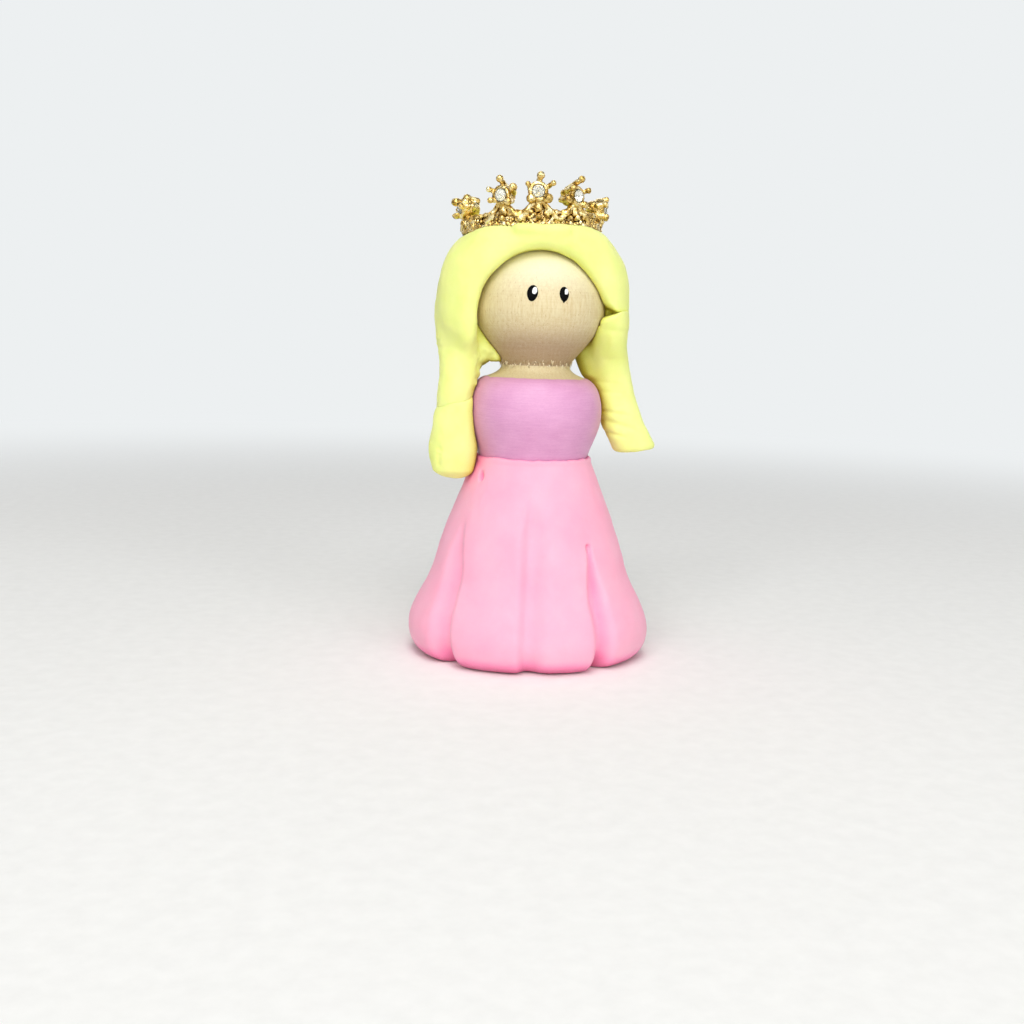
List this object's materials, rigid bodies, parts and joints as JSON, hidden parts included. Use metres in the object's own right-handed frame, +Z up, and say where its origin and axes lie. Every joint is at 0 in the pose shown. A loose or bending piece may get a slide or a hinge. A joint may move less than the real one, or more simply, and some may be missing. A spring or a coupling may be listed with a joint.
{
  "type": "peg doll",
  "caption": "Princess peg doll: a turned wooden peg with a painted bodice and eyes, foam clay hair and skirt, and a lift-off crown set with stones.",
  "frame": {"origin": "centre of the peg's flat foot, on the surface that the doll stands on", "axes": "+Z up along the peg's axis, -Y towards where the face looks, +X towards the right of someone looking at the face"},
  "size_m": [0.0364, 0.0358, 0.0691],
  "materials": {
    "beech": "satin",
    "bodice_paint": "satin",
    "black_paint": "polished",
    "white_paint": "polished",
    "pink_clay": "matte",
    "yellow_clay": "matte",
    "crown_gold": "polished",
    "rhinestone": "polished"
  },
  "bodies": {
    "doll": {"wooden_peg": "beech", "bodice_paint": "bodice_paint", "eye_left": "black_paint", "eye_right": "black_paint", "eye_glint_left": "white_paint", "eye_glint_right": "white_paint", "skirt": "pink_clay", "hair_cap": "yellow_clay", "hair_lock_left": "yellow_clay", "hair_lock_right": "yellow_clay"},
    "crown": {"crown_band": "crown_gold", "crown_setting_1": "crown_gold", "crown_setting_2": "crown_gold", "crown_setting_3": "crown_gold", "crown_setting_4": "crown_gold", "crown_setting_5": "crown_gold", "rhinestone_1": "rhinestone", "rhinestone_2": "rhinestone", "rhinestone_3": "rhinestone", "rhinestone_4": "rhinestone", "rhinestone_5": "rhinestone"}
  },
  "joints": [
    {"name": "crown_lift", "type": "slide", "parent": "doll", "child": "crown", "axis": [-0.0453, 0.0349, 0.9984], "range_m": [0, 0.015]}
  ]
}
